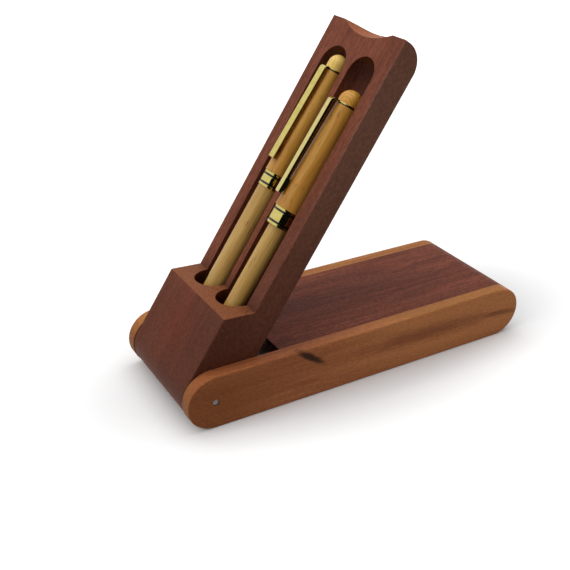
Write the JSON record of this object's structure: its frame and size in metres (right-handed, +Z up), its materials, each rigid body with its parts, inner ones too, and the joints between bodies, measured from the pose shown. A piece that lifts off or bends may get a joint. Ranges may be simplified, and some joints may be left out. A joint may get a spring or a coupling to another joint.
{
  "type": "fountain pen case",
  "caption": "Wooden flip-up desk case: a tray with routed pen seats swings on pins between round-ended cheeks, holding a fountain pen and a ball pen.",
  "frame": {"origin": "middle of the case's footprint on the table", "axes": "+X along the case from the pivot end to the open end, +Y across to the back cheek, +Z up"},
  "size_m": [0.175, 0.0612, 0.1463],
  "materials": {
    "honey_wood": "satin lacquered light wood, straight grain along the length",
    "rosewood": "satin oiled red-brown wood",
    "amber_bamboo": "gloss lacquered amber wood",
    "pale_bamboo": "gloss lacquered pale wood",
    "gold_plate": "polished gold plate",
    "black_enamel": "glossy black",
    "pin_steel": "plain turned steel",
    "pale_metal": "satin pale metal",
    "black_plastic": "moulded black",
    "clear_plastic": "smooth moulded"
  },
  "bodies": {
    "shell": {"front_cheek": "honey_wood", "back_cheek": "honey_wood", "top_panel": "rosewood", "front_pivot_pin": "pin_steel", "back_pivot_pin": "pin_steel"},
    "tray": {"pen_tray": "rosewood", "name_plate": "pale_metal"},
    "ball_pen": {"ball_pen_band": "gold_plate", "ball_pen_lower_stripe": "black_enamel", "ball_pen_upper_stripe": "black_enamel", "ball_pen_lower_barrel": "pale_bamboo", "ball_pen_twist_works": "gold_plate", "ball_pen_tip": "gold_plate"},
    "ball_pen_top": {"ball_pen_finial": "amber_bamboo", "ball_pen_top_ring": "black_enamel", "ball_pen_clip": "gold_plate", "ball_pen_upper_barrel": "amber_bamboo"},
    "ball_pen_ink": {"ball_pen_refill": "pin_steel"},
    "fountain_pen": {"fountain_pen_finial": "amber_bamboo", "fountain_pen_top_ring": "black_enamel", "fountain_pen_clip": "gold_plate", "fountain_pen_band": "gold_plate", "fountain_pen_lower_stripe": "black_enamel", "fountain_pen_upper_stripe": "black_enamel", "fountain_pen_cap": "amber_bamboo", "fountain_pen_barrel": "pale_bamboo", "fountain_pen_section": "black_plastic", "fountain_pen_feed": "black_plastic", "fountain_pen_nib": "gold_plate", "fountain_pen_converter": "clear_plastic"}
  },
  "joints": [
    {"name": "tray_hinge", "type": "hinge", "parent": "shell", "child": "tray", "pos_m": [-0.0752, 0, 0.0123], "axis": [0, -1, 0], "range_deg": [-13, 302.2]},
    {"name": "fountain_pen_lift", "type": "slide", "parent": "tray", "child": "fountain_pen", "axis": [0.5329, 0, 0.8462], "range_m": [0, 0.0115]},
    {"name": "ball_pen_lift", "type": "slide", "parent": "tray", "child": "ball_pen", "axis": [0.5329, 0, 0.8462], "range_m": [0, 0.0006]},
    {"name": "ball_pen_twist", "type": "hinge", "parent": "ball_pen", "child": "ball_pen_top", "pos_m": [-0.07203, 0.0097, 0.01538], "axis": [0.5468, 0, 0.8372], "range_deg": [0, 60]},
    {"name": "ball_pen_refill_feed", "type": "slide", "parent": "ball_pen", "child": "ball_pen_ink", "axis": [-0.5468, 0, -0.8372], "range_m": [0, 0.0015]}
  ],
  "couplings": [
    {"joint": "ball_pen_twist", "follows": "ball_pen_refill_feed", "rad_per_m": 698}
  ]
}
